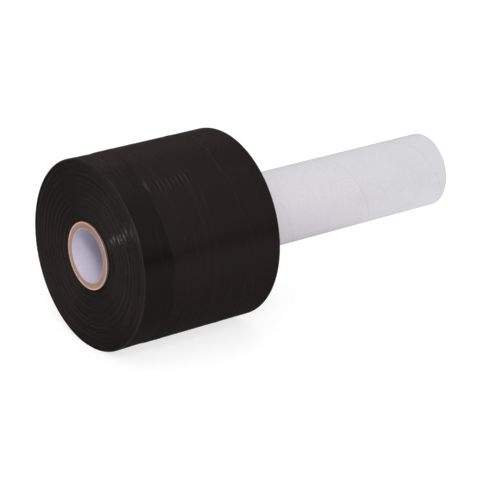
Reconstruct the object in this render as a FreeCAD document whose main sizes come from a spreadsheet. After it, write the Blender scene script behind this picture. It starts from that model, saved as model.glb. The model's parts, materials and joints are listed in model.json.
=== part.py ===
import FreeCAD
import Part
import Sketcher
import math
import os

# Hand roll of stretch film on an extended paper core.
# The roll lies on its side as it rests on a table: the core runs along X and
# its gripping end points to +X. Millimetres, +Z up. The origin is under the
# middle of the core, on the surface that the film rests on.
# Each piece is drawn along its own X axis, with the core's film end at x = 0,
# and its Placement then lifts it to the height of the axis.

SIZES = [
    ("film_width", 76.2, "width of the film, along the core"),
    ("film_diameter", 91.1, "outside of the wound film"),
    ("core_reveal", 0.4, "how far the core's end stands out of the film"),
    ("rim_bevel", 1.0, "bevel where the end faces meet the barrel"),
    ("flat_depth", 0.35, "how far the soft film is pressed in where it rests"),
    ("core_bore", 25.4, "inside of the paper core"),
    ("core_wall", 3.45, "wall of the paper core"),
    ("core_length", 203.2, "whole length of the paper core"),
    ("sleeve_wall", 2.15, "wall of the paper sleeve on the gripping end"),
    ("sleeve_gap", 0.3, "from the film to the sleeve, along the core"),
    ("fit_gap", 0.1, "round the core, under the film and under the sleeve"),
    ("near_grooves", 8, "grooves that the wound turns leave on the core's end"),
    ("far_grooves", 6, "grooves that they leave on the gripping side"),
    ("turn_depth", 0.55, "depth of the deepest of those grooves"),
    ("band_width", 14.5, "edge band of the barrel, wound a little lower"),
    ("band_ramp", 1.6, "slope from the edge band up to the barrel"),
    ("band_depth", 0.25, "how much lower the edge band lies"),
    ("ridge_width", 1.4, "stretch ridge round the barrel, along the core"),
    ("ridge_height", 0.12, "how far a stretch ridge stands above the barrel"),
    ("seam_pitch", 47.5, "advance of the sleeve's spiral seam in one turn"),
    ("seam_offset", 14.3, "from the sleeve's inner end to the seam at the top"),
    ("seam_width", 0.7, "mouth of the open seam between two paper strips"),
    ("seam_depth", 0.25, "depth of that seam"),
]

# Places of the stretch ridges, as shares of the barrel beyond the edge band.
RIDGE_PLACES = (0.125, 0.68)

# How the grooves of the turns vary from the core out to the rim: their shift
# is a share of their spacing and their depth a share of the deepest.
TURN_SHIFT = 0.16
TURN_VARIATION = 0.35
TURN_BEAT = 2.4
NEAR_PHASE = 0.4
FAR_PHASE = 1.9

# A groove's deepest circle and its outer edge, from its middle, as shares of
# the spacing: a long slope in from one crest and a short step to the next.
GROOVE_EDGES = (0.20, 0.50)

FILM_RADIUS = "Sizes.film_diameter / 2"
BARREL_RADIUS = "(%s - Sizes.ridge_height)" % FILM_RADIUS
CORE_RADIUS = "(Sizes.core_bore / 2 + Sizes.core_wall)"
WOUND_RADIUS = "(%s + Sizes.fit_gap)" % CORE_RADIUS
SLEEVE_RADIUS = "(%s + Sizes.sleeve_wall)" % WOUND_RADIUS
AXIS_HEIGHT = "%s - Sizes.flat_depth" % FILM_RADIUS
FILM_START = "Sizes.core_reveal"
FILM_END = "(Sizes.core_reveal + Sizes.film_width)"
SLEEVE_START = "(%s + Sizes.sleeve_gap)" % FILM_END
SLEEVE_LENGTH = "(Sizes.core_length - %s)" % SLEEVE_START


def make_sheet(document):
    sheet = document.addObject("Spreadsheet::Sheet", "Sizes")
    for row, (alias, value, note) in enumerate(SIZES, start=1):
        sheet.set("A%d" % row, alias)
        sheet.set("B%d" % row, str(value))
        sheet.set("C%d" % row, note)
        sheet.setAlias("B%d" % row, alias)
    document.recompute()
    return sheet


def origin_plane(body, role):
    return [item for item in body.Origin.OriginFeatures if item.Role == role][0]


def make_body(document, name):
    body = document.addObject("PartDesign::Body", name)
    body.Label = name
    body.setExpression("Placement.Base.x", "-Sizes.core_length / 2")
    body.setExpression("Placement.Base.z", AXIS_HEIGHT)
    return body


def make_sketch(body, name, role):
    sketch = body.newObject("Sketcher::SketchObject", name)
    sketch.AttachmentSupport = (origin_plane(body, role), [""])
    sketch.MapMode = "FlatFace"
    return sketch


def bind(sketch, constraint, formula):
    index = sketch.addConstraint(constraint)
    sketch.setExpression("Constraints[%d]" % index, formula)


def make_outline(body, name, role, corners):
    """A closed outline with straight sides; each corner is a pair of formulas."""
    sketch = make_sketch(body, name, role)
    count = len(corners)
    start = [FreeCAD.Vector(count * (2 + math.cos(2 * math.pi * i / count)),
                            count * (2 + math.sin(2 * math.pi * i / count)), 0)
             for i in range(count)]
    for i in range(count):
        sketch.addGeometry(Part.LineSegment(start[i], start[(i + 1) % count]))
    for i in range(count):
        sketch.addConstraint(Sketcher.Constraint("Coincident", i, 2, (i + 1) % count, 1))
    for i, (along, out) in enumerate(corners):
        bind(sketch, Sketcher.Constraint("DistanceX", -1, 1, i, 1, start[i].x), along)
        bind(sketch, Sketcher.Constraint("DistanceY", -1, 1, i, 1, start[i].y), out)
    return sketch


def turn_corners(count, phase, face, inward):
    """Corners of the grooves on one end face, from the core out to the rim."""
    inner = WOUND_RADIUS
    span = "(%s - Sizes.rim_bevel - %s)" % (BARREL_RADIUS, inner)
    corners = [(face, inner)]
    for i in range(count):
        shift = TURN_SHIFT * math.sin(TURN_BEAT * i + phase) if i < count - 1 else 0
        depth = 1 - TURN_VARIATION * (1 + math.cos(TURN_BEAT * i + 2 * phase))
        deepest = "%s %s Sizes.turn_depth * %.4f" % (face, inward, depth)
        for edge, along in zip(GROOVE_EDGES, (deepest, face)):
            share = (i + 0.5 + shift + edge) / count
            corners.append((along, "%s + %s * %.4f" % (inner, span, share)))
    return corners


def barrel_corners():
    """Corners along the barrel: the edge band, its ramp and the stretch ridges."""
    band_end = "(%s + Sizes.band_width)" % FILM_START
    ramp_end = "(%s + Sizes.band_ramp)" % band_end
    band_radius = "%s - Sizes.band_depth" % BARREL_RADIUS
    corners = [(FILM_START + " + Sizes.rim_bevel", band_radius),
               (band_end, band_radius), (ramp_end, BARREL_RADIUS)]
    for place in RIDGE_PLACES:
        middle = "%s + (%s - %s) * %.3f" % (ramp_end, FILM_END, ramp_end, place)
        corners.append(("%s - Sizes.ridge_width / 2" % middle, BARREL_RADIUS))
        corners.append((middle, FILM_RADIUS))
        corners.append(("%s + Sizes.ridge_width / 2" % middle, BARREL_RADIUS))
    corners.append((FILM_END + " - Sizes.rim_bevel", BARREL_RADIUS))
    return corners


def make_film_roll(document, sheet):
    """The wound film, one solid: every turn clings to the one under it."""
    body = make_body(document, "film_roll")
    near = turn_corners(int(sheet.near_grooves), NEAR_PHASE, FILM_START, "+")
    far = turn_corners(int(sheet.far_grooves), FAR_PHASE, FILM_END, "-")
    section = make_outline(body, "film_section", "XZ_Plane", near + barrel_corners() + far[::-1])
    wound = body.newObject("PartDesign::Revolution", "wound_film")
    wound.Profile = section
    wound.ReferenceAxis = (section, ["H_Axis"])
    wound.Angle = 360
    document.recompute()

    # What is pressed flat is cut away below the surface that the film rests on.
    top = "-(%s)" % AXIS_HEIGHT
    base = top + " - Sizes.flat_depth * 2"
    end = FILM_END + " + Sizes.rim_bevel"
    press = make_outline(body, "flat_section", "XZ_Plane",
                         [("0", top), (end, top), (end, base), ("0", base)])
    flat = body.newObject("PartDesign::Pocket", "flat_spot")
    flat.Profile = press
    flat.Type = "Length"
    flat.Midplane = True
    flat.setExpression("Length", "Sizes.film_diameter")
    return body


def make_tube(document, name, bore_formula, radius_formula, start_formula, length_formula):
    """A plain paper tube with square cut ends."""
    body = make_body(document, name)
    section = make_sketch(body, name + "_section", "YZ_Plane")
    section.setExpression("AttachmentOffset.Base.z", start_formula)
    for i, formula in enumerate((bore_formula, radius_formula)):
        section.addGeometry(Part.Circle(FreeCAD.Vector(), FreeCAD.Vector(0, 0, 1), 10.0 + i))
        section.addConstraint(Sketcher.Constraint("Coincident", i, 3, -1, 1))
        bind(section, Sketcher.Constraint("Radius", i, 10.0 + i), formula)
    tube = body.newObject("PartDesign::Pad", name + "_wall")
    tube.Profile = section
    tube.setExpression("Length", length_formula)
    return body


def make_core_tube(document):
    """The spiral-wound core, which the film is wound on and which reaches past it."""
    return make_tube(document, "core_tube", "Sizes.core_bore / 2", CORE_RADIUS,
                     "0", "Sizes.core_length")


def make_handle_sleeve(document):
    """The second paper tube, pushed over the bare end of the core to grip it by."""
    body = make_tube(document, "handle_sleeve", WOUND_RADIUS, SLEEVE_RADIUS,
                     SLEEVE_START, SLEEVE_LENGTH)
    document.recompute()

    # The seam's section is a notch that starts one turn before the sleeve, so
    # that the spiral runs out of both of its ends.
    start = "%s + Sizes.seam_offset - Sizes.seam_pitch" % SLEEVE_START
    mouth = "%s + Sizes.seam_depth" % SLEEVE_RADIUS
    notch = make_outline(body, "seam_section", "XZ_Plane", [
        ("%s - Sizes.seam_width" % start, mouth),
        ("%s + Sizes.seam_width" % start, mouth),
        (start, "%s - Sizes.seam_depth" % SLEEVE_RADIUS)])
    seam = body.newObject("PartDesign::SubtractiveHelix", "spiral_seam")
    seam.Profile = notch
    seam.ReferenceAxis = (notch, ["H_Axis"])
    seam.Mode = "pitch-height-angle"
    seam.setExpression("Pitch", "Sizes.seam_pitch")
    seam.setExpression("Height", "%s + Sizes.seam_pitch" % SLEEVE_LENGTH)
    seam.LeftHanded = False
    return body


def check_document(document, bodies):
    for item in document.Objects:
        for state in ("Invalid", "Error"):
            if state in item.State:
                raise RuntimeError("%s is %s" % (item.Label, state))
    for body in bodies:
        shape = body.Shape
        if shape.isNull() or not shape.isValid() or len(shape.Solids) != 1:
            raise RuntimeError("%s has no valid single solid" % body.Label)


def main():
    document = FreeCAD.newDocument("stretch_film_roll")
    sheet = make_sheet(document)
    bodies = [
        make_film_roll(document, sheet),
        make_core_tube(document),
        make_handle_sleeve(document),
    ]
    document.recompute()
    check_document(document, bodies)
    os.makedirs("parts", exist_ok=True)
    for body in bodies:
        body.Shape.exportStep("parts/%s.step" % body.Label)
        print("%s: %.0f mm3" % (body.Label, body.Shape.Volume))


main()
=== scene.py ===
"""The looks of a hand roll of stretch film: the wound film, its paper core and its paper sleeve."""

import json
import math
import random

import bmesh
import bpy
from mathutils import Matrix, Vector


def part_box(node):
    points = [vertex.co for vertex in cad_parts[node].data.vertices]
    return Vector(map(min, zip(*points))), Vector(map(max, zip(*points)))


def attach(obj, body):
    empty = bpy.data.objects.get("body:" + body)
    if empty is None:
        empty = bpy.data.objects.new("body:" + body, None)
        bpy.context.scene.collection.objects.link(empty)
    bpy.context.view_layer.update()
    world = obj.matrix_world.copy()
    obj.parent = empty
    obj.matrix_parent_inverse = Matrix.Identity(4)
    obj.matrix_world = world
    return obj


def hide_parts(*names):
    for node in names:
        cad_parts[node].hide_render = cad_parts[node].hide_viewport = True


bl_info = {
    "name": "Stretch film hand roll",
    "version": (1, 0, 0),
    "blender": (4, 5, 0),
    "location": "3D View > Sidebar > Film roll",
    "description": "Winds a black stretch film roll on its paper core, with the sleeve that it is held by",
    "category": "Add Mesh",
}

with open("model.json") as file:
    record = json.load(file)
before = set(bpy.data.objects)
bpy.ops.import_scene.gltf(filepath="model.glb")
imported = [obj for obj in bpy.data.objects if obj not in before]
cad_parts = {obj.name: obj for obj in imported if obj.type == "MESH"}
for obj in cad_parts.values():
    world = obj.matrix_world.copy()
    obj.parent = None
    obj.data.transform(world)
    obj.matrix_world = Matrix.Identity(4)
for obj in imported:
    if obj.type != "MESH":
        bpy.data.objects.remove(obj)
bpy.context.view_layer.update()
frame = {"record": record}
MOUNTS = {mount["name"]: mount for mount in frame["record"]["mounts"]}
MM = 0.001

FILM_LOW, FILM_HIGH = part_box("film_roll")
CORE_LOW, CORE_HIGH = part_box("core_tube")
SLEEVE_LOW, SLEEVE_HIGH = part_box("handle_sleeve")
AXIS_HEIGHT = MOUNTS["core_bore"]["pos_m"][2]
BORE_RADIUS = MOUNTS["core_bore"]["dims"]["r_mm"] * MM
CORE_RADIUS = CORE_HIGH.y
SLEEVE_RADIUS = MOUNTS["grip"]["dims"]["r_mm"] * MM
FILM_RADIUS = FILM_HIGH.y
FIT_GAP = 0.1 * MM

# The marks that a row of a section may carry; build_winding_tree says what each does
ROW_MARKS = ("lean", "drift", "swell", "cut_edge", "edge_band")

# How the rows wander: the scale of the wander round the roll, and how fast it changes over the rows
WANDER_SCALE = 1.2
WANDER_RATE = 60.0

# How far off a row is moved before it counts as cut off, how much of its mark makes a face a cut
# edge, how near two points are merged, and from which angle on an edge is shaded as one
CUT_SLACK = 1e-7
CUT_EDGE_LEVEL = 0.6
MERGE_DISTANCE = 1e-6
SHARP_ANGLE = math.radians(50)

# The film's end faces. The first turns on the core are given in millimetres, out from the core and
# back from the end face. A step falls by its profile, in shares of its width and of its depth, and
# then rises over slightly ragged rows.
FIRST_TURNS = ((0.0, 0.3), (0.3, 0.25), (0.55, 0.0))
STEP_PROFILE = ((0.022, 0.2), (0.045, 0.8), (0.075, 1.0))
SPACING_RANGE = (0.75, 1.25)
DEPTH_RANGE = (0.6, 1.0)
INNER_DEPTH = 0.35
TURN_ROW = 0.42 * MM
TURN_RAGGED = 0.012 * MM
TURN_SWELL = 0.12 * MM
RIM_STEPS = 7

# The film's barrel. The ridges' places are shares of the barrel beyond the edge band, and EDGE_RISE
# is how much the band climbs again towards the rim.
BARREL_ROW = 1.15 * MM
BARREL_RIPPLE = 0.002 * MM
BARREL_SWELL = 0.02 * MM
RAMP_WIDTH = 1.6 * MM
BAND_WANDER = 1.9 * MM
WANDER_REACH = 8 * MM
EDGE_RISE = 0.25 * MM
RIDGE_HEIGHT = 0.12 * MM
RIDGE_SHARE = 0.8
RIDGE_HALF = 0.7 * MM
RIDGE_PLACES = (0.125, 0.68)

# The paper's cut ends and seams. A ply's profile is in shares of its thickness and in millimetres
# back from the face, and a seam's is in half widths from its middle and shares of its depth.
PLY_PROFILE = ((0.0, 0.14), (0.2, 0.02), (0.8, 0.0), (1.0, 0.14))
SEAM_PROFILE = ((-2.2, 0.0), (-1.15, 0.0), (-0.85, 0.75), (-0.4, 1.0),
                (0.4, 1.0), (0.85, 0.75), (1.15, 0.0), (2.2, 0.0))
SEAM_ROWS = 12
LINER_SEAM_OFFSET = 9 * MM
LINER_SEAM_SHARE = 0.5

# The finish of the film's barrel, and how far apart the bands and lines are that the drawing leaves
FILM_IOR = 1.51
BARREL_GLOSS = 0.07
BARREL_ROUGHNESS = (0.24, 0.28)
DRAWN_BAND = 3.5 * MM
DRAWN_LINE = 0.8 * MM
DRAWN_DEPTH = 0.003 * MM
DARK_BARREL_COLOUR = "#1B1413"
# The colour of painted shade on the film: on the front of the edge band and in the edges' shaded sectors
FILM_PAINTED_SHADE_COLOUR = "#130D0C"

# The stretch wrinkles: where they start and end along the film, how many degrees above the front
# they lie, and the cosines off that angle between which they come up
WRINKLE_PLACES = (18.5 * MM, 40 * MM)
WRINKLE_ANGLE = 54.0
WRINKLE_COSINES = (0.9960, 0.9994)
WRINKLE_FADE = 3 * MM
WRINKLE_SPACING = 2.6 * MM
WRINKLE_DEPTH = 0.095 * MM

# The finish of the film's slit edges. A few turns stand proud as lips, which catch the light at one
# angle above the front. A sector of painted shade, where the edges' sheen is missing, is its angle,
# the cosine where it starts and how dark it gets.
TURN_GLOSS = 0.018
TURN_ROUGHNESS = (0.26, 0.62)
TURN_ANISOTROPY = 0.9
RING_SPACING = 0.3 * MM
RING_GROUP = 2.4 * MM
RING_DEPTH = 0.04 * MM
LIP_SHARE = 0.15
LIP_HEIGHT = 0.56 * MM
LIP_LOW = 0.35
STREAK_ANGLE = 33.0
PAINTED_SHADE_SECTORS = ((125, 0.65, 1.0), (290, 0.65, 1.0), (13, 0.92, 0.55))
# Painted sheen: the end faces are painted paler on the side at this angle
SHEEN_SIDE_ANGLE = 165.0
DARK_TURN_COLOUR = "#181110"
SHEEN_TURN_COLOUR = "#1F1817"
# A painted highlight along the rim of the end faces
RIM_HIGHLIGHT_COLOUR = "#2D2827"
# Painted shade on the first turns, in the gap beside the core
CORE_GAP_SHADE_COLOUR = "#080504"

# The finish of the paper. The real fibres and fuzz are finer than this, and would not show. A side
# tint is as paper_material says; the bore's is painted shade.
PAPER_IOR = 1.5
FIBRE_SIZE = 0.9 * MM
FIBRE_DEPTH = 0.08 * MM
CLOUD_SIZE = 14 * MM
PLY_FUZZ = 0.16 * MM
LINER_EDGE_COLOUR = "#A28478"
INNER_KRAFT_COLOUR = "#9A7867"
# Painted shade at the core's outer edge, in the gap to the film
CORE_EDGE_SHADE_COLOUR = "#54443B"
SEAM_COLOUR = "#D3D0D3"
SEAM_SIDE_COLOUR = "#D9D7DB"
# Painted shade: the upper right side of the bore, which lies in shade, is tinted darker and more violet
BORE_PAINTED_SHADE = (45, "#F8E8F8", BORE_RADIUS, CORE_LOW.x, CORE_HIGH.x * 4)
SLEEVE_CAST = (-50, "#FFF4FA", SLEEVE_RADIUS, SLEEVE_LOW.x, SLEEVE_LOW.x + 90 * MM)

# The room and the table. The table seems a little brighter to the camera than it is.
ROOM_LIGHT = 0.82
LIGHT_BELOW = 0.03
TABLE_LIGHT = 0.15
TABLE_COLOUR = "#F4F4F5"
SEEN_TABLE_COLOUR = "#A0A0A2"
SEEN_TABLE_GLOW = 0.74

# Each lamp: its name, place and aim, its size in metres and its power in watts, whether the gloss
# and the plain light see it, and its spread in degrees
KEY_PLACE = (-0.55, -0.83, 0.80)
LAMPS = (
    ("key_softbox", KEY_PLACE, (-0.09, 0.0, AXIS_HEIGHT), 0.26, 1.2, False, True, 180),
    ("bore_lamp", KEY_PLACE, (-0.1016, 0.0, AXIS_HEIGHT), 0.1, 0.019, False, True, 10),
    ("streak_lamp", (-0.5, -0.7, 0.632), (-0.115, -0.025, 0.06), 0.10, 0.6, True, False, 14),
    ("small_lamp", (0.22, -0.10, 1.00), (-0.0736, -0.0264, 0.082), 0.04, 0.66, True, True, 180),
)

# The cards that only the gloss sees. An upright one has its name, its azimuths in degrees, its
# distance, the heights of its edges, the heights between which its glow changes, that glow and its
# colour. The glow of the one on the table changes with the distance sideways from the axis.
UPRIGHT_CARDS = (
    ("back_card", (-5, 115), 0.27, (0.0, 0.55), (0.12, 0.34), (0.11, 0.52), "#FFECEB"),
    ("front_card", (-90, -20), 0.9, (-0.1, 0.14), (0.0, 1.0), (0.06, 0.06), "#FFFFFF"),
)
TABLE_CARD_ENDS = (-0.1, 0.07)
TABLE_CARD_SIDES = (-0.116, 0.116)
TABLE_CARD_HEIGHT = 0.0002
TABLE_CARD_SPAN = (0.01, 0.12)
TABLE_CARD_GLOW = (0.04, 0.80)

# The camera stands level to the left of the roll's middle and looks a little down.
CAMERA_PLACE = (-0.6441, -0.8318, 0.4253)
CAMERA_LOOK = (0.5651, 0.7460, -0.3517)
CAMERA_LENS = 173.9
CAMERA_SENSOR = 36


def linear(text):
    """An sRGB hex colour as the linear colour that nodes use."""
    channels = [int(text[i:i + 2], 16) / 255 for i in (1, 3, 5)]
    return tuple(c / 12.92 if c <= 0.04045 else ((c + 0.055) / 1.055) ** 2.4 for c in channels) + (1.0,)


def add(tree, kind, inputs=(), **settings):
    """Adds a node with its settings; each input is a value, a node or a (node, output name) pair."""
    node = tree.nodes.new(kind)
    for name, value in settings.items():
        setattr(node, name, value)
    for key, value in dict(inputs).items():
        if isinstance(value, bpy.types.Node):
            tree.links.new(value.outputs[0], node.inputs[key])
        elif isinstance(value, tuple) and isinstance(value[0], bpy.types.Node):
            tree.links.new(value[0].outputs[value[1]], node.inputs[key])
        else:
            node.inputs[key].default_value = value
    return node


# Sizes and colours that a user would change


class FilmSettings(bpy.types.PropertyGroup):
    """Sizes and colours of the wound film"""
    turn_spacing: bpy.props.FloatProperty(
        name="Turn spacing", description="From one step of the wound turns to the next on an end face",
        default=2.8 * MM, unit="LENGTH", precision=5)
    turn_depth: bpy.props.FloatProperty(
        name="Turn depth", description="Depth of the deepest step of the wound turns",
        default=0.09 * MM, unit="LENGTH", precision=5)
    band_width: bpy.props.FloatProperty(
        name="Edge band", description="Width of the edge band of the barrel, which is wound lower",
        default=14.5 * MM, unit="LENGTH", precision=5)
    band_depth: bpy.props.FloatProperty(
        name="Edge band depth", description="How much lower the edge band lies than the barrel",
        default=0.25 * MM, unit="LENGTH", precision=5)
    rim_round: bpy.props.FloatProperty(
        name="Rim rounding", description="Rounding where the end faces meet the barrel",
        default=0.45 * MM, unit="LENGTH", precision=5)
    columns: bpy.props.IntProperty(
        name="Columns", description="Faces round the roll", default=288, min=24)
    seed: bpy.props.IntProperty(
        name="Seed", description="Sets how the turns and bands vary", default=7)
    barrel_colour: bpy.props.StringProperty(
        name="Barrel colour", description="sRGB hex colour of the drawn film", default="#1E1615")
    edge_colour: bpy.props.StringProperty(
        name="Turn colour", description="sRGB hex colour of the film's cut edges", default="#221817")


class PaperSettings(bpy.types.PropertyGroup):
    """Sizes and colours of the core and the sleeve"""
    seam_pitch: bpy.props.FloatProperty(
        name="Seam pitch", description="Advance of the sleeve's spiral seam in one turn",
        default=47.5 * MM, unit="LENGTH", precision=5)
    seam_offset: bpy.props.FloatProperty(
        name="Seam offset", description="From the sleeve's inner end to the seam at the top",
        default=14.3 * MM, unit="LENGTH", precision=5)
    seam_width: bpy.props.FloatProperty(
        name="Seam width", description="Open gap between two paper strips",
        default=0.45 * MM, unit="LENGTH", precision=5)
    seam_depth: bpy.props.FloatProperty(
        name="Seam depth", description="Thickness of the outer paper strip",
        default=0.13 * MM, unit="LENGTH", precision=5)
    ply: bpy.props.FloatProperty(
        name="Ply", description="Thickness of one ply of paper in the wall",
        default=0.5 * MM, unit="LENGTH", precision=5)
    columns: bpy.props.IntProperty(
        name="Columns", description="Faces round each tube", default=192, min=24)
    kraft_colour: bpy.props.StringProperty(
        name="Kraft colour", description="sRGB hex colour of the brown plies", default="#A5826F")
    pale_kraft_colour: bpy.props.StringProperty(
        name="Outer kraft colour", description="sRGB hex colour of the core's outer ply", default="#D2B7A4")
    liner_colour: bpy.props.StringProperty(
        name="Liner colour", description="sRGB hex colour of the core's inner ply", default="#CECCDA")
    sleeve_colour: bpy.props.StringProperty(
        name="Sleeve colour", description="sRGB hex colour of the sleeve's outer ply", default="#DEDDE2")


# Winding a section round the core


def new_input(tree, name, kind):
    tree.interface.new_socket(name, in_out="INPUT", socket_type=kind)


def build_winding_tree():
    """Winds a section round the core's axis.

    A section is a loop of points at (place along the axis, radius). Its attribute lean makes a row
    of points follow the paper's spiral instead of a circle, drift and swell let it wander along the
    axis and outwards, cut_edge marks the ends of the turns, which get a finish of their own, and
    edge_band marks the lower band along the film's edge, whose front gets painted shade.
    """
    tree = bpy.data.node_groups.new("wind_round_the_core", "GeometryNodeTree")
    new_input(tree, "Section", "NodeSocketGeometry")
    new_input(tree, "Columns", "NodeSocketInt")
    new_input(tree, "Seed", "NodeSocketInt")
    for name in ("Pitch", "Start", "End", "Plain Radius", "Axis Height", "Floor"):
        new_input(tree, name, "NodeSocketFloat")
    new_input(tree, "Body Material", "NodeSocketMaterial")
    new_input(tree, "Edge Material", "NodeSocketMaterial")
    tree.interface.new_socket("Geometry", in_out="OUTPUT", socket_type="NodeSocketGeometry")
    given = add(tree, "NodeGroupInput")

    # A grid with a column for each angle and a row for each point of the section
    size = add(tree, "GeometryNodeAttributeDomainSize", {"Geometry": (given, "Section")}, component="MESH")
    rows = add(tree, "ShaderNodeMath", {0: (size, "Point Count"), 1: 1.0}, operation="ADD")
    columns = add(tree, "ShaderNodeMath", {0: (given, "Columns"), 1: 1.0}, operation="ADD")
    grid = add(tree, "GeometryNodeMeshGrid",
               {"Size X": 1.0, "Size Y": 1.0, "Vertices X": columns, "Vertices Y": rows})
    index = add(tree, "GeometryNodeInputIndex")
    divided = add(tree, "ShaderNodeMath", {0: index, 1: rows}, operation="DIVIDE")
    column = add(tree, "ShaderNodeMath", {0: divided}, operation="FLOOR")
    open_row = add(tree, "ShaderNodeMath", {0: index, 1: rows}, operation="MODULO")
    row = add(tree, "ShaderNodeMath", {0: open_row, 1: (size, "Point Count")}, operation="MODULO")
    turn = add(tree, "ShaderNodeMath", {0: column, 1: (given, "Columns")}, operation="DIVIDE")
    angle = add(tree, "ShaderNodeMath", {0: turn, 1: math.tau}, operation="MULTIPLY")
    cosine = add(tree, "ShaderNodeMath", {0: angle}, operation="COSINE")
    sine = add(tree, "ShaderNodeMath", {0: angle}, operation="SINE")

    # What the section says at that row
    position = add(tree, "GeometryNodeInputPosition")
    place = add(tree, "GeometryNodeSampleIndex",
                {"Geometry": (given, "Section"), "Value": position, "Index": row},
                data_type="FLOAT_VECTOR", domain="POINT")
    split = add(tree, "ShaderNodeSeparateXYZ", {0: place})
    said = {}
    for name in ROW_MARKS:
        named = add(tree, "GeometryNodeInputNamedAttribute", {"Name": name}, data_type="FLOAT")
        said[name] = add(tree, "GeometryNodeSampleIndex",
                         {"Geometry": (given, "Section"), "Value": named, "Index": row},
                         data_type="FLOAT", domain="POINT")

    # A slow wander that closes on itself round the roll
    depth = add(tree, "ShaderNodeMath", {0: (split, "X"), 1: (split, "Y")}, operation="ADD")
    slow = add(tree, "ShaderNodeMath", {0: depth, 1: WANDER_RATE, 2: (given, "Seed")},
               operation="MULTIPLY_ADD")
    round_place = add(tree, "ShaderNodeCombineXYZ", {"X": cosine, "Y": sine, "Z": slow})
    noise = add(tree, "ShaderNodeTexNoise",
                {"Vector": round_place, "Scale": WANDER_SCALE, "Detail": 2.0})
    wander = add(tree, "ShaderNodeMath", {0: noise, 1: 4.0, 2: -2.0}, operation="MULTIPLY_ADD")

    # Along the axis, cut square at both ends
    advance = add(tree, "ShaderNodeMath", {0: turn, 1: (given, "Pitch")}, operation="MULTIPLY")
    leaned = add(tree, "ShaderNodeMath", {0: advance, 1: said["lean"]}, operation="MULTIPLY")
    along = add(tree, "ShaderNodeMath", {0: (split, "X"), 1: leaned}, operation="SUBTRACT")
    drifted = add(tree, "ShaderNodeMath", {0: said["drift"], 1: wander, 2: along}, operation="MULTIPLY_ADD")
    x_place = add(tree, "ShaderNodeClamp",
                  {"Value": drifted, "Min": (given, "Start"), "Max": (given, "End")})
    excess = add(tree, "ShaderNodeMath", {0: drifted, 1: x_place}, operation="SUBTRACT")
    distance = add(tree, "ShaderNodeMath", {0: excess}, operation="ABSOLUTE")
    beyond = add(tree, "ShaderNodeMath", {0: distance, 1: CUT_SLACK}, operation="GREATER_THAN")
    cut = add(tree, "ShaderNodeMath", {0: beyond, 1: said["lean"]}, operation="MULTIPLY")

    # Out from the axis: a row that was cut off lies in the plain surface, without its seam
    swollen = add(tree, "ShaderNodeMath", {0: said["swell"], 1: wander, 2: (split, "Y")},
                  operation="MULTIPLY_ADD")
    missing = add(tree, "ShaderNodeMath", {0: (given, "Plain Radius"), 1: swollen}, operation="SUBTRACT")
    radius = add(tree, "ShaderNodeMath", {0: missing, 1: cut, 2: swollen}, operation="MULTIPLY_ADD")
    forward = add(tree, "ShaderNodeMath", {0: radius, 1: cosine}, operation="MULTIPLY")
    y_place = add(tree, "ShaderNodeMath", {0: forward, 1: -1.0}, operation="MULTIPLY")
    lifted = add(tree, "ShaderNodeMath", {0: radius, 1: sine, 2: (given, "Axis Height")},
                 operation="MULTIPLY_ADD")
    z_place = add(tree, "ShaderNodeMath", {0: lifted, 1: (given, "Floor")}, operation="MAXIMUM")
    put = add(tree, "ShaderNodeCombineXYZ", {"X": x_place, "Y": y_place, "Z": z_place})

    marked = (grid, "Mesh")
    for name in ("cut_edge", "edge_band"):
        marked = add(tree, "GeometryNodeStoreNamedAttribute",
                     {"Geometry": marked, "Name": name, "Value": said[name]},
                     data_type="FLOAT", domain="POINT")
    wound = add(tree, "GeometryNodeSetPosition", {"Geometry": marked, "Position": put})
    closed = add(tree, "GeometryNodeMergeByDistance", {"Geometry": wound, "Distance": MERGE_DISTANCE})
    body = add(tree, "GeometryNodeSetMaterial", {"Geometry": closed, "Material": (given, "Body Material")})
    mark = add(tree, "GeometryNodeInputNamedAttribute", {"Name": "cut_edge"}, data_type="FLOAT")
    on_edge = add(tree, "ShaderNodeMath", {0: mark, 1: CUT_EDGE_LEVEL}, operation="GREATER_THAN")
    edged = add(tree, "GeometryNodeSetMaterial",
                {"Geometry": body, "Selection": on_edge, "Material": (given, "Edge Material")})
    real = add(tree, "GeometryNodeRealizeInstances", {"Geometry": edged})
    add(tree, "NodeGroupOutput", {"Geometry": real})
    return tree


def section_mesh(name, rows):
    """A loop of points with the attributes that the winding reads; a row is a dictionary."""
    count = len(rows)
    mesh = bpy.data.meshes.new(name)
    mesh.from_pydata([(row["x"], row["radius"], 0.0) for row in rows],
                     [(i, (i + 1) % count) for i in range(count)], [])
    for key in ROW_MARKS:
        attribute = mesh.attributes.new(key, "FLOAT", "POINT")
        attribute.data.foreach_set("value", [row.get(key, 0.0) for row in rows])
    return mesh


def wind(name, rows, values):
    """A piece wound from a section, as a plain closed mesh with its faces pointing outwards."""
    tree = bpy.data.node_groups.get("wind_round_the_core") or build_winding_tree()
    piece = bpy.data.objects.new(name, section_mesh(name + "_section", rows))
    bpy.context.scene.collection.objects.link(piece)
    modifier = piece.modifiers.new("winding", "NODES")
    modifier.node_group = tree
    for item in tree.interface.items_tree:
        if item.item_type == "SOCKET" and item.in_out == "INPUT" and item.name in values:
            modifier[item.identifier] = values[item.name]
    evaluated = piece.evaluated_get(bpy.context.evaluated_depsgraph_get())
    mesh = bpy.data.meshes.new_from_object(evaluated)
    piece.modifiers.remove(modifier)
    mesh.name = name
    piece.data = mesh
    finish_mesh(mesh)
    return piece


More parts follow.
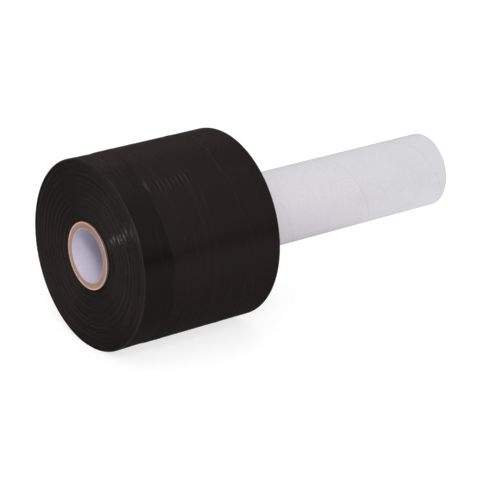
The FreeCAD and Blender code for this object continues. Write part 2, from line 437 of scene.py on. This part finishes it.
def finish_mesh(mesh):
    """Points the faces outwards, and shades smoothly except over real edges."""
    work = bmesh.new()
    work.from_mesh(mesh)
    bmesh.ops.remove_doubles(work, verts=work.verts, dist=MERGE_DISTANCE)
    bmesh.ops.recalc_face_normals(work, faces=work.faces)
    for face in work.faces:
        face.smooth = True
    for edge in work.edges:
        edge.smooth = len(edge.link_faces) != 2 or edge.calc_face_angle(0.0) < SHARP_ANGLE
    work.to_mesh(mesh)
    work.free()
    mesh.attributes.remove(mesh.attributes["cut_edge"])
    mesh.update()


# The sections of the three pieces


def turn_rows(settings, chance, face, inward, inner, outer):
    """One end face of the film, from the core out: groups of turns, each a step below the last."""
    rows = [{"x": face + inward * fall * MM, "radius": inner + out * MM, "cut_edge": 1.0}
            for out, fall in FIRST_TURNS]
    start = rows[-1]["radius"]
    while start < outer - settings.turn_spacing * 0.5:
        stop = min(outer, start + settings.turn_spacing * chance.uniform(*SPACING_RANGE))
        if outer - stop < settings.turn_spacing * 0.5:
            stop = outer
        outward = (start - inner) / (outer - inner)
        depth = settings.turn_depth * chance.uniform(*DEPTH_RANGE)
        depth *= INNER_DEPTH + (1 - INNER_DEPTH) * outward ** 3
        profile = [(share, depth * level) for share, level in STEP_PROFILE]
        count = max(3, round((stop - start) / TURN_ROW))
        for i in range(1, count + 1):
            share = i / count
            level = depth * (1 - share) + TURN_RAGGED * chance.random() * (i < count)
            if share > STEP_PROFILE[-1][0] * 1.5:
                profile.append((share, level))
        rows += [{"x": face + inward * level, "radius": start + (stop - start) * share,
                  "swell": TURN_SWELL, "cut_edge": 1.0} for share, level in profile]
        start = stop
    return rows


def rim_rows(face, inward, radius, round_radius):
    """The rounded rim of the film, from the end face out to the barrel."""
    rows = []
    for i in range(1, RIM_STEPS):
        swing = math.radians(90 * i / RIM_STEPS)
        rows.append({"x": face + inward * round_radius * (1 - math.cos(swing)),
                     "radius": radius - round_radius * (1 - math.sin(swing)), "cut_edge": 1.0})
    return rows


def barrel_rows(settings, chance, start, end):
    """The barrel: the lower edge band, its ramp, and slight bands and ridges left by the stretch."""
    plain = FILM_RADIUS - RIDGE_HEIGHT
    ramp_start = start + settings.band_width
    ramp_end = ramp_start + RAMP_WIDTH
    ridges = [ramp_end + (end - ramp_end) * place for place in RIDGE_PLACES]
    first = start + settings.rim_round
    last = end - settings.rim_round
    places = [first + (last - first) * i / round((last - first) / BARREL_ROW)
              for i in range(round((last - first) / BARREL_ROW) + 1)]
    for middle in [ramp_start, ramp_end] + ridges:
        places = [place for place in places if abs(place - middle) > RIDGE_HALF * 1.5]
        places += [middle - RIDGE_HALF, middle - RIDGE_HALF * 0.4, middle, middle + RIDGE_HALF * 0.4,
                   middle + RIDGE_HALF]
    rows = []
    for place in sorted(set(places)):
        share = min(1.0, max(0.0, (place - ramp_start) / RAMP_WIDTH))
        climb = 0.5 - 0.5 * math.cos(math.pi * share)
        edge_rise = EDGE_RISE * max(0.0, 1 - (place - start) / settings.band_width)
        radius = plain - settings.band_depth * (1 - climb) + edge_rise
        for ridge in ridges:
            radius += RIDGE_HEIGHT * RIDGE_SHARE * max(0.0, 1 - ((place - ridge) / RIDGE_HALF) ** 2)
        radius += BARREL_RIPPLE * chance.uniform(-1, 1)
        near = max(0.0, 1 - abs(place - ramp_start - RAMP_WIDTH / 2) / WANDER_REACH)
        rows.append({"x": place, "radius": radius, "drift": BAND_WANDER * near ** 0.5,
                     "swell": BARREL_SWELL, "edge_band": 1 - climb})
    return rows


def film_section(settings):
    chance = random.Random(settings.seed)
    start, end = FILM_LOW.x, FILM_HIGH.x
    inner = CORE_RADIUS + FIT_GAP
    near_radius = FILM_RADIUS - RIDGE_HEIGHT - settings.band_depth + EDGE_RISE
    far_radius = FILM_RADIUS - RIDGE_HEIGHT
    near = turn_rows(settings, chance, start, 1, inner, near_radius - settings.rim_round)
    near += rim_rows(start, 1, near_radius, settings.rim_round)
    far = turn_rows(settings, chance, end, -1, inner, far_radius - settings.rim_round)
    far += rim_rows(end, -1, far_radius, settings.rim_round)
    return near + barrel_rows(settings, chance, start, end) + far[::-1]


def ply_rows(settings, face, inward, inner, outer):
    """The cut end of a paper wall, from its bore out: each ply is a slightly raised ring."""
    count = max(2, round((outer - inner) / settings.ply))
    rows = []
    for i in range(count):
        profile = PLY_PROFILE if i == count - 1 else PLY_PROFILE[:-1]
        rows += [{"x": face + inward * level * MM, "cut_edge": 1.0,
                  "radius": inner + (outer - inner) * (i + share) / count} for share, level in profile]
    return rows


def seam_rows(settings, first, start, end, radius, outward):
    """Rows along a tube that follow its spiral, with the open seam once in each turn."""
    half = settings.seam_width / 2
    depth = settings.seam_depth * outward
    notch = [(half * place, depth * level) for place, level in SEAM_PROFILE]
    rows = []
    turn = math.floor((start - first) / settings.seam_pitch)
    while first + turn * settings.seam_pitch < end + 2 * settings.seam_pitch:
        middle = first + turn * settings.seam_pitch
        rows += [{"x": middle + place, "radius": radius - level, "lean": 1.0} for place, level in notch]
        rows += [{"x": middle + settings.seam_pitch * i / SEAM_ROWS, "radius": radius, "lean": 1.0}
                 for i in range(1, SEAM_ROWS)]
        turn += 1
    return rows


def sleeve_section(settings):
    start, end = SLEEVE_LOW.x, SLEEVE_HIGH.x
    inner = CORE_RADIUS + FIT_GAP
    # The seam is given where it passes the top, a quarter turn on from the front.
    first = start + settings.seam_offset + settings.seam_pitch / 4
    outside = seam_rows(settings, first, start, end, SLEEVE_RADIUS, 1)
    near = ply_rows(settings, start, 1, inner, SLEEVE_RADIUS)
    far = ply_rows(settings, end, -1, inner, SLEEVE_RADIUS)
    return near + outside + far[::-1]


def core_section(settings):
    start, end = CORE_LOW.x, CORE_HIGH.x
    inside = seam_rows(settings, start + LINER_SEAM_OFFSET, start, end, BORE_RADIUS, -LINER_SEAM_SHARE)
    near = ply_rows(settings, start, 1, BORE_RADIUS, CORE_RADIUS)
    far = ply_rows(settings, end, -1, BORE_RADIUS, CORE_RADIUS)
    return near + far[::-1] + inside[::-1]


# Materials


def empty_tree(owner):
    """The node tree of a material or a world, with nothing in it."""
    owner.use_nodes = True
    owner.node_tree.nodes.clear()
    return owner.node_tree


def new_material(name):
    """A material, its tree and its Principled shader."""
    material = bpy.data.materials.new(name)
    tree = empty_tree(material)
    shader = add(tree, "ShaderNodeBsdfPrincipled")
    add(tree, "ShaderNodeOutputMaterial", {"Surface": shader})
    return material, tree, shader


def round_coordinates(tree):
    """A place off the axis, its parts, its radius and its direction out, from Object coordinates."""
    given = add(tree, "ShaderNodeTexCoord")
    centred = add(tree, "ShaderNodeMapping",
                  {"Vector": (given, "Object"), "Location": (0, 0, -AXIS_HEIGHT)})
    split = add(tree, "ShaderNodeSeparateXYZ", {0: centred})
    across = add(tree, "ShaderNodeCombineXYZ", {"Y": (split, "Y"), "Z": (split, "Z")})
    length = add(tree, "ShaderNodeVectorMath", {0: across}, operation="LENGTH")
    unit = add(tree, "ShaderNodeVectorMath", {0: across}, operation="NORMALIZE")
    return centred, split, (length, "Value"), unit


def toward(tree, unit, degrees, low, high, full=1.0):
    """How nearly a place lies at an angle above the front, by the cosine off it: 0 at low, full at high."""
    angle = math.radians(degrees)
    near = add(tree, "ShaderNodeVectorMath", {0: unit, 1: (0.0, -math.cos(angle), math.sin(angle))},
               operation="DOT_PRODUCT")
    return add(tree, "ShaderNodeMapRange",
               {"Value": (near, "Value"), "From Min": low, "From Max": high, "To Max": full})


def band_noise(tree, centred, around, spacing):
    """Uneven bands that change over the spacing along the axis, and slowly round it."""
    along = add(tree, "ShaderNodeVectorMath", {0: centred, 1: (1 / spacing, 0, 0)}, operation="MULTIPLY")
    place = add(tree, "ShaderNodeVectorMath", {0: around, 1: along}, operation="ADD")
    return add(tree, "ShaderNodeTexNoise", {"Vector": place, "Scale": 1.0, "Detail": 1.0})


def ring_noise(tree, radius, around, spacing):
    """Uneven rings that change over the spacing outwards, and slowly round the axis."""
    out = add(tree, "ShaderNodeMath", {0: radius, 1: 1 / spacing}, operation="MULTIPLY")
    out_place = add(tree, "ShaderNodeCombineXYZ", {"X": out})
    place = add(tree, "ShaderNodeVectorMath", {0: around, 1: out_place}, operation="ADD")
    return add(tree, "ShaderNodeTexNoise", {"Vector": place, "Scale": 1.0, "Detail": 2.0})


def film_barrel_material(settings):
    """Blown polyethylene film, black all through and drawn tight: near-black with a soft gloss.

    The drawing leaves faint bands round the roll, a few millimetres apart, that shift the gloss.
    The front of the lower edge band is darkened as painted shade.
    """
    material, tree, shader = new_material("black_polyethylene_film")
    centred, split, _, unit = round_coordinates(tree)
    stretched = add(tree, "ShaderNodeVectorMath", {0: unit, 1: (0.0, 0.6, 0.6)}, operation="MULTIPLY")
    bands = band_noise(tree, centred, stretched, DRAWN_BAND)
    lines = band_noise(tree, centred, unit, DRAWN_LINE)
    varied = add(tree, "ShaderNodeMix",
                 {"Factor": bands, 6: linear(DARK_BARREL_COLOUR), 7: linear(settings.barrel_colour)},
                 data_type="RGBA")
    # Painted shade: the edge band is darkened on its front
    edge_band = add(tree, "ShaderNodeAttribute", attribute_name="edge_band")
    front = toward(tree, unit, 20, 0.5, 0.95)
    band_shade = add(tree, "ShaderNodeMath", {0: (edge_band, "Fac"), 1: front}, operation="MULTIPLY")
    colour = add(tree, "ShaderNodeMix",
                 {"Factor": band_shade, 6: (varied, 2), 7: linear(FILM_PAINTED_SHADE_COLOUR)}, data_type="RGBA")
    smooth, rough = BARREL_ROUGHNESS
    roughness = add(tree, "ShaderNodeMapRange",
                    {"Value": bands, "From Min": 0.3, "From Max": 0.7, "To Min": smooth, "To Max": rough})
    height = add(tree, "ShaderNodeMath", {0: bands, 1: 8.0, 2: lines}, operation="MULTIPLY_ADD")
    drawn = add(tree, "ShaderNodeBump", {"Height": height, "Strength": 0.12, "Distance": DRAWN_DEPTH})
    wrinkles = wrinkle_height(tree, split, unit)
    bump = add(tree, "ShaderNodeBump",
               {"Height": wrinkles, "Strength": 1.0, "Distance": WRINKLE_DEPTH, "Normal": drawn})
    tree.links.new(colour.outputs[2], shader.inputs["Base Color"])
    tree.links.new(roughness.outputs[0], shader.inputs["Roughness"])
    tree.links.new(bump.outputs[0], shader.inputs["Normal"])
    shader.inputs["IOR"].default_value = FILM_IOR
    shader.inputs["Specular IOR Level"].default_value = BARREL_GLOSS
    return material


def wrinkle_height(tree, split, unit):
    """A patch of small stretch wrinkles beside the edge band, near the top, as the height of a bump."""
    start, end = (FILM_LOW.x + place for place in WRINKLE_PLACES)
    middle, half = (start + end) / 2, (end - start) / 2
    off_middle = add(tree, "ShaderNodeMath", {0: (split, "X"), 1: middle}, operation="SUBTRACT")
    distance = add(tree, "ShaderNodeMath", {0: off_middle}, operation="ABSOLUTE")
    along = add(tree, "ShaderNodeMapRange",
                {"Value": distance, "From Min": half, "From Max": half - WRINKLE_FADE})
    around = toward(tree, unit, WRINKLE_ANGLE, *WRINKLE_COSINES)
    phase = add(tree, "ShaderNodeMath", {0: off_middle, 1: math.tau / WRINKLE_SPACING},
                operation="MULTIPLY")
    wave = add(tree, "ShaderNodeMath", {0: phase}, operation="SINE")
    patch = add(tree, "ShaderNodeMath", {0: along, 1: around}, operation="MULTIPLY")
    return add(tree, "ShaderNodeMath", {0: wave, 1: patch}, operation="MULTIPLY")


def film_edge_material(settings):
    """The slit edges of the same film: thousands of turns side by side smear a light into a streak.

    A turn is 0.02 mm thick, too fine to show, so the rings are drawn 0.3 mm apart. The colour also
    holds painted light: a side painted paler as sheen, sectors of painted shade, painted shade beside
    the core and a painted highlight on the rim.
    """
    material, tree, shader = new_material("slit_film_edges")
    _, _, radius, unit = round_coordinates(tree)
    slow = add(tree, "ShaderNodeVectorMath", {0: unit, 1: (0.0, 0.5, 0.5)}, operation="MULTIPLY")
    rings = ring_noise(tree, radius, slow, RING_SPACING)
    broad = ring_noise(tree, radius, slow, RING_GROUP)
    round_slow = add(tree, "ShaderNodeTexNoise", {"Vector": unit, "Scale": 1.3, "Detail": 1.0})
    both = add(tree, "ShaderNodeMath", {0: rings, 1: broad}, operation="MULTIPLY")
    uneven = add(tree, "ShaderNodeMath", {0: both, 1: round_slow}, operation="MULTIPLY")
    level = add(tree, "ShaderNodeMath", {0: uneven, 1: 4.0}, operation="MULTIPLY", use_clamp=True)
    varied = add(tree, "ShaderNodeMix",
                 {"Factor": level, 6: linear(DARK_TURN_COLOUR), 7: linear(settings.edge_colour)},
                 data_type="RGBA")
    # Painted sheen: the end faces are painted paler on one side
    painted_sheen_side = toward(tree, unit, SHEEN_SIDE_ANGLE, -0.1, 0.9)
    with_painted_sheen = add(tree, "ShaderNodeMix",
                {"Factor": painted_sheen_side, 6: (varied, 2), 7: linear(SHEEN_TURN_COLOUR)}, data_type="RGBA")
    # Painted shade: sectors where the edges' sheen is missing are darkened
    sector_shade = 0.0
    for degrees, low, full in PAINTED_SHADE_SECTORS:
        sector_shade = add(tree, "ShaderNodeMath", {0: sector_shade, 1: toward(tree, unit, degrees, low, 1.0, full)},
                   operation="MAXIMUM")
    colour = add(tree, "ShaderNodeMix",
                 {"Factor": sector_shade, 6: (with_painted_sheen, 2), 7: linear(FILM_PAINTED_SHADE_COLOUR)}, data_type="RGBA")
    # A painted highlight on the rim, which is also made rougher
    rim_highlight_and_roughness = add(tree, "ShaderNodeMapRange", {"Value": radius, "From Min": FILM_RADIUS - 0.9 * MM,
                                            "From Max": FILM_RADIUS - 0.6 * MM})
    rim_highlighted = add(tree, "ShaderNodeMix",
                 {"Factor": rim_highlight_and_roughness, 6: (colour, 2), 7: linear(RIM_HIGHLIGHT_COLOUR)}, data_type="RGBA")
    # Painted shade: the first turns beside the core are darkened
    core_gap_shade = add(tree, "ShaderNodeMapRange", {"Value": radius, "From Min": CORE_RADIUS + 1.2 * MM,
                                                   "From Max": CORE_RADIUS + 0.8 * MM})
    final = add(tree, "ShaderNodeMix",
                {"Factor": core_gap_shade, 6: (rim_highlighted, 2), 7: linear(CORE_GAP_SHADE_COLOUR)}, data_type="RGBA")

    # Proud turns, at full height only where the streak lies and off the first turns
    turns_out = add(tree, "ShaderNodeMath", {0: radius, 1: 1 / settings.turn_spacing},
                    operation="MULTIPLY")
    shaken = add(tree, "ShaderNodeMath", {0: broad, 1: 1.2, 2: turns_out}, operation="MULTIPLY_ADD")
    share = add(tree, "ShaderNodeMath", {0: shaken}, operation="FRACT")
    rise = add(tree, "ShaderNodeMapRange", {"Value": share, "From Max": 1 - LIP_SHARE})
    fall = add(tree, "ShaderNodeMapRange",
               {"Value": share, "From Min": 1 - LIP_SHARE, "To Min": 1.0, "To Max": 0.0})
    lip = add(tree, "ShaderNodeMath", {0: rise, 1: fall}, operation="MULTIPLY")
    streak = toward(tree, unit, STREAK_ANGLE, 0.80, 0.97)
    off_core = add(tree, "ShaderNodeMapRange", {"Value": radius, "From Min": CORE_RADIUS + 2 * MM,
                                                "From Max": CORE_RADIUS + 5 * MM})
    strong = add(tree, "ShaderNodeMath", {0: streak, 1: off_core}, operation="MULTIPLY")
    lifted = add(tree, "ShaderNodeMapRange", {"Value": strong, "To Min": LIP_LOW})
    lips = add(tree, "ShaderNodeMath", {0: lip, 1: lifted}, operation="MULTIPLY")
    fine = add(tree, "ShaderNodeBump", {"Height": rings, "Strength": 0.6, "Distance": RING_DEPTH})
    bump = add(tree, "ShaderNodeBump",
               {"Height": lips, "Strength": 1.0, "Distance": LIP_HEIGHT, "Normal": fine})
    smooth, rough = TURN_ROUGHNESS
    roughness = add(tree, "ShaderNodeMapRange", {"Value": rim_highlight_and_roughness, "To Min": smooth, "To Max": rough})
    tree.links.new(final.outputs[2], shader.inputs["Base Color"])
    tree.links.new(bump.outputs[0], shader.inputs["Normal"])
    tree.links.new(unit.outputs[0], shader.inputs["Tangent"])
    tree.links.new(roughness.outputs[0], shader.inputs["Roughness"])
    shader.inputs["Anisotropic"].default_value = TURN_ANISOTROPY
    shader.inputs["IOR"].default_value = FILM_IOR
    shader.inputs["Specular IOR Level"].default_value = TURN_GLOSS
    return material


def paper_material(name, inner, outer, stops, relief, roughness, gloss, side_tint):
    """Spiral-wound paper: matt, faintly mottled plies whose colour goes with their place in the wall.

    stops gives a colour at each distance out from the tube's inside, in millimetres. The last
    argument is a faint tint on one side of one skin of the tube, which in the bore is painted shade:
    its angle, its colour, that skin's radius, and the places along the axis where it is full and gone.
    """
    material, tree, shader = new_material(name)
    centred, split, radius, unit = round_coordinates(tree)
    fibre = add(tree, "ShaderNodeTexNoise",
                {"Vector": centred, "Scale": 1 / FIBRE_SIZE, "Detail": 4.0, "Roughness": 0.65})
    cloud = add(tree, "ShaderNodeTexNoise", {"Vector": centred, "Scale": 1 / CLOUD_SIZE, "Detail": 2.0})
    ragged = add(tree, "ShaderNodeMath", {0: fibre, 1: PLY_FUZZ, 2: radius}, operation="MULTIPLY_ADD")
    depth = add(tree, "ShaderNodeMapRange",
                {"Value": ragged, "From Min": inner + PLY_FUZZ / 2, "From Max": outer + PLY_FUZZ / 2})
    ramp = add(tree, "ShaderNodeValToRGB", {"Fac": depth})
    wall = (outer - inner) / MM
    while len(ramp.color_ramp.elements) < len(stops):
        ramp.color_ramp.elements.new(1.0)
    for element, (out, colour) in zip(ramp.color_ramp.elements, stops):
        element.position = out / wall
        element.color = linear(colour)
    mottled = add(tree, "ShaderNodeMapRange",
                  {"Value": fibre, "From Min": 0.3, "From Max": 0.7, "To Min": 0.95, "To Max": 1.04})
    clouded = add(tree, "ShaderNodeMapRange",
                  {"Value": cloud, "From Min": 0.3, "From Max": 0.7, "To Min": 0.985, "To Max": 1.015})
    shade = add(tree, "ShaderNodeMath", {0: mottled, 1: clouded}, operation="MULTIPLY")
    plain = add(tree, "ShaderNodeVectorMath", {0: ramp, 1: shade}, operation="MULTIPLY")
    # A faint tint on one side of one skin; in the bore it is painted shade
    degrees, tint_colour, skin, full, gone = side_tint
    off_skin = add(tree, "ShaderNodeMath", {0: radius, 1: skin}, operation="SUBTRACT")
    depth_in = add(tree, "ShaderNodeMath", {0: off_skin}, operation="ABSOLUTE")
    on_skin = add(tree, "ShaderNodeMapRange",
                  {"Value": depth_in, "From Min": 0.5 * MM, "From Max": 0.2 * MM})
    along = add(tree, "ShaderNodeMapRange", {"Value": (split, "X"), "From Min": gone, "From Max": full})
    side = add(tree, "ShaderNodeMath", {0: on_skin, 1: toward(tree, unit, degrees, -0.6, 0.8)},
               operation="MULTIPLY")
    amount = add(tree, "ShaderNodeMath", {0: along, 1: side}, operation="MULTIPLY")
    tinge = add(tree, "ShaderNodeMix", {"Factor": amount, 6: (1, 1, 1, 1), 7: linear(tint_colour)},
                data_type="RGBA")
    colour = add(tree, "ShaderNodeVectorMath", {0: plain, 1: (tinge, 2)}, operation="MULTIPLY")
    bump = add(tree, "ShaderNodeBump", {"Height": fibre, "Strength": relief, "Distance": FIBRE_DEPTH})
    tree.links.new(colour.outputs[0], shader.inputs["Base Color"])
    tree.links.new(bump.outputs[0], shader.inputs["Normal"])
    shader.inputs["Roughness"].default_value = roughness
    shader.inputs["IOR"].default_value = PAPER_IOR
    shader.inputs["Specular IOR Level"].default_value = gloss
    return material


def core_material(settings):
    """Kraft board plies with a white inner ply and a paler outer one. The outermost edge is painted
    dark, as painted shade in the gap to the film, and one side of the bore gets painted shade.
    """
    kraft, pale, liner = settings.kraft_colour, settings.pale_kraft_colour, settings.liner_colour
    # The last stop is painted shade at the core's outer edge
    stops = ((0.0, liner), (0.10, liner), (0.35, LINER_EDGE_COLOUR), (1.20, INNER_KRAFT_COLOUR),
             (1.90, kraft), (2.60, kraft), (2.82, pale), (3.20, pale), (3.34, CORE_EDGE_SHADE_COLOUR))
    return paper_material("kraft_tube_board", BORE_RADIUS, CORE_RADIUS, stops,
                          relief=0.5, roughness=0.72, gloss=0.12, side_tint=BORE_PAINTED_SHADE)


def sleeve_material(settings):
    """A white-faced paper strip over kraft plies, a little greyer in its open seam."""
    kraft, white = settings.kraft_colour, settings.sleeve_colour
    stops = ((0.0, kraft), (1.70, kraft), (1.80, SEAM_COLOUR), (1.97, SEAM_SIDE_COLOUR), (2.06, white))
    return paper_material("white_faced_tube_paper", CORE_RADIUS + FIT_GAP, SLEEVE_RADIUS, stops,
                          relief=0.12, roughness=0.55, gloss=0.4, side_tint=SLEEVE_CAST)


# The pieces


def dress(piece, node):
    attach(piece, "root")
    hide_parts(node)


class FILM_OT_wind_film(bpy.types.Operator):
    """Winds the black film, with the steps of its turns and the bands of its barrel"""
    bl_idname = "film_roll.wind_film"
    bl_label = "Wind the film"

    def execute(self, context):
        settings = context.scene.film_settings
        piece = wind("wound_film", film_section(settings), {
            "Columns": settings.columns, "Seed": settings.seed, "Start": FILM_LOW.x, "End": FILM_HIGH.x,
            "Axis Height": AXIS_HEIGHT, "Floor": FILM_LOW.z, "Plain Radius": FILM_RADIUS,
            "Body Material": film_barrel_material(settings), "Edge Material": film_edge_material(settings)})
        dress(piece, "film_roll")
        return {"FINISHED"}


class FILM_OT_roll_core(bpy.types.Operator):
    """Rolls the kraft core, with its plies at both ends and the liner's seam in its bore"""
    bl_idname = "film_roll.roll_core"
    bl_label = "Roll the core"

    def execute(self, context):
        settings = context.scene.paper_settings
        material = core_material(settings)
        piece = wind("paper_core", core_section(settings), {
            "Columns": settings.columns, "Pitch": settings.seam_pitch, "Start": CORE_LOW.x,
            "End": CORE_HIGH.x, "Axis Height": AXIS_HEIGHT, "Plain Radius": BORE_RADIUS,
            "Body Material": material, "Edge Material": material})
        dress(piece, "core_tube")
        return {"FINISHED"}


class FILM_OT_roll_sleeve(bpy.types.Operator):
    """Rolls the white-faced sleeve, with its open spiral seam"""
    bl_idname = "film_roll.roll_sleeve"
    bl_label = "Roll the sleeve"

    def execute(self, context):
        settings = context.scene.paper_settings
        material = sleeve_material(settings)
        piece = wind("paper_sleeve", sleeve_section(settings), {
            "Columns": settings.columns, "Pitch": settings.seam_pitch, "Start": SLEEVE_LOW.x,
            "End": SLEEVE_HIGH.x, "Axis Height": AXIS_HEIGHT, "Plain Radius": SLEEVE_RADIUS,
            "Body Material": material, "Edge Material": material})
        dress(piece, "handle_sleeve")
        return {"FINISHED"}


# The stage


def floor_material():
    """A matt white table; to the camera it is a little brighter, so that only the shadow shows."""
    material = bpy.data.materials.new("matt_white_table")
    tree = empty_tree(material)
    path = add(tree, "ShaderNodeLightPath")
    plain = add(tree, "ShaderNodeBsdfDiffuse", {"Color": linear(TABLE_COLOUR)})
    seen_part = add(tree, "ShaderNodeBsdfDiffuse", {"Color": linear(SEEN_TABLE_COLOUR)})
    glow = add(tree, "ShaderNodeEmission", {"Color": (1, 1, 1, 1), "Strength": SEEN_TABLE_GLOW})
    seen = add(tree, "ShaderNodeAddShader", {0: seen_part, 1: glow})
    under_light = add(tree, "ShaderNodeEmission", {"Color": (1, 1, 1, 1), "Strength": TABLE_LIGHT})
    lit = add(tree, "ShaderNodeAddShader", {0: plain, 1: under_light})
    mixed = add(tree, "ShaderNodeMixShader", {"Fac": (path, "Is Camera Ray"), 1: lit, 2: seen})
    add(tree, "ShaderNodeOutputMaterial", {"Surface": mixed})
    return material


def make_floor():
    """The table, which ends close in front, because the roll's gloss turns darker there."""
    left, right, front, back = -4.0, 4.0, -0.62, 4.0
    mesh = bpy.data.meshes.new("table")
    mesh.from_pydata([(left, front, 0), (right, front, 0), (right, back, 0), (left, back, 0)], [],
                     [(0, 1, 2, 3)])
    mesh.materials.append(floor_material())
    table = bpy.data.objects.new("table", mesh)
    bpy.context.scene.collection.objects.link(table)


def make_world():
    """An even pale room above the table and a dim one under it; what shows as background is white."""
    world = bpy.data.worlds.new("pale_room")
    bpy.context.scene.world = world
    tree = empty_tree(world)
    given = add(tree, "ShaderNodeTexCoord")
    split = add(tree, "ShaderNodeSeparateXYZ", {0: (given, "Generated")})
    above = add(tree, "ShaderNodeMath", {0: (split, "Z"), 1: 0.0}, operation="GREATER_THAN")
    path = add(tree, "ShaderNodeLightPath")
    shown = add(tree, "ShaderNodeMath", {0: (path, "Is Glossy Ray"), 1: (path, "Is Transmission Ray")},
                operation="MAXIMUM")
    shown_above = add(tree, "ShaderNodeMath", {0: shown, 1: above}, operation="MULTIPLY")
    white = add(tree, "ShaderNodeMath", {0: (path, "Is Camera Ray"), 1: shown_above},
                operation="MAXIMUM")
    room = add(tree, "ShaderNodeMix", {"Factor": above, 2: LIGHT_BELOW, 3: ROOM_LIGHT}, data_type="FLOAT")
    seen = add(tree, "ShaderNodeMix", {"Factor": white, 2: room, 3: 1.0}, data_type="FLOAT")
    shader = add(tree, "ShaderNodeBackground", {"Color": (1, 1, 1, 1), "Strength": seen})
    add(tree, "ShaderNodeOutputWorld", {"Surface": shader})


def card_material(axis, span, glow, colour="#FFFFFF"):
    """Grey cloth whose glow goes from one value to another over a span of distances on an axis."""
    material = bpy.data.materials.new("grey_cloth")
    tree = empty_tree(material)
    given = add(tree, "ShaderNodeTexCoord")
    split = add(tree, "ShaderNodeSeparateXYZ", {0: (given, "Object")})
    distance = add(tree, "ShaderNodeMath", {0: (split, axis)}, operation="ABSOLUTE")
    level = add(tree, "ShaderNodeMapRange", {"Value": distance, "From Min": span[0], "From Max": span[1],
                                             "To Min": glow[0], "To Max": glow[1]},
                interpolation_type="SMOOTHSTEP")
    cloth = add(tree, "ShaderNodeEmission", {"Color": linear(colour), "Strength": level})
    add(tree, "ShaderNodeOutputMaterial", {"Surface": cloth})
    return material


def make_card(name, corners, material):
    """A card that takes the white out of the film's gloss, from pairs of a lower and an upper corner."""
    mesh = bpy.data.meshes.new(name)
    mesh.from_pydata(corners, [], [(i, i + 2, i + 3, i + 1) for i in range(0, len(corners) - 2, 2)])
    mesh.materials.append(material)
    card = bpy.data.objects.new(name, mesh)
    bpy.context.scene.collection.objects.link(card)
    card.visible_camera = False
    card.visible_diffuse = False
    card.visible_shadow = False


def bent_card(azimuths, distance, heights):
    """Corners of an upright card that is bent round the roll between two azimuths, in degrees."""
    corners = []
    for i in range(13):
        angle = math.radians(azimuths[0] + (azimuths[1] - azimuths[0]) * i / 12)
        corners += [(distance * math.cos(angle), distance * math.sin(angle), height) for height in heights]
    return corners


def make_lamp(name, place, aim, size, power, glossy, diffuse, spread):
    """A square softbox that points at aim; it may be left out of the gloss or of the plain light."""
    light = bpy.data.lights.new(name, "AREA")
    light.size = size
    light.energy = power
    light.spread = math.radians(spread)
    lamp = bpy.data.objects.new(name, light)
    lamp.location = place
    lamp.rotation_euler = (Vector(aim) - Vector(place)).to_track_quat("-Z", "Y").to_euler()
    lamp.visible_glossy = glossy
    lamp.visible_diffuse = diffuse
    bpy.context.scene.collection.objects.link(lamp)


def make_camera():
    camera = bpy.data.cameras.new("camera")
    camera.lens = CAMERA_LENS
    camera.sensor_width = CAMERA_SENSOR
    holder = bpy.data.objects.new("camera", camera)
    holder.location = CAMERA_PLACE
    holder.rotation_euler = Vector(CAMERA_LOOK).to_track_quat("-Z", "Y").to_euler()
    bpy.context.scene.collection.objects.link(holder)
    bpy.context.scene.camera = holder


class FILM_OT_set_stage(bpy.types.Operator):
    """Sets the table, the room, the lamps and the camera"""
    bl_idname = "film_roll.set_stage"
    bl_label = "Set the stage"

    def execute(self, context):
        make_floor()
        make_world()
        for lamp in LAMPS:
            make_lamp(*lamp)
        for name, azimuths, distance, heights, span, glow, colour in UPRIGHT_CARDS:
            make_card(name, bent_card(azimuths, distance, heights), card_material("Z", span, glow, colour))
        corners = [(end, side, TABLE_CARD_HEIGHT) for end in TABLE_CARD_ENDS for side in TABLE_CARD_SIDES]
        make_card("table_card", corners, card_material("Y", TABLE_CARD_SPAN, TABLE_CARD_GLOW))
        make_camera()
        context.scene.view_settings.view_transform = "Standard"
        return {"FINISHED"}


class FILM_PT_panel(bpy.types.Panel):
    """The sizes and steps of the film roll"""
    bl_idname = "FILM_PT_panel"
    bl_label = "Film roll"
    bl_space_type = "VIEW_3D"
    bl_region_type = "UI"
    bl_category = "Film roll"

    def draw(self, context):
        for settings in (context.scene.film_settings, context.scene.paper_settings):
            box = self.layout.box()
            for name in settings.__annotations__:
                box.prop(settings, name)
        for step in STEPS:
            self.layout.operator(step.bl_idname)


STEPS = (FILM_OT_wind_film, FILM_OT_roll_core, FILM_OT_roll_sleeve, FILM_OT_set_stage)
CLASSES = (FilmSettings, PaperSettings) + STEPS + (FILM_PT_panel,)


def register():
    for item in CLASSES:
        bpy.utils.register_class(item)
    bpy.types.Scene.film_settings = bpy.props.PointerProperty(type=FilmSettings)
    bpy.types.Scene.paper_settings = bpy.props.PointerProperty(type=PaperSettings)


def unregister():
    del bpy.types.Scene.paper_settings
    del bpy.types.Scene.film_settings
    for item in reversed(CLASSES):
        bpy.utils.unregister_class(item)


def main():
    register()
    bpy.ops.film_roll.wind_film()
    bpy.ops.film_roll.roll_core()
    bpy.ops.film_roll.roll_sleeve()
    bpy.ops.film_roll.set_stage()


if __name__ == "__main__":
    main()
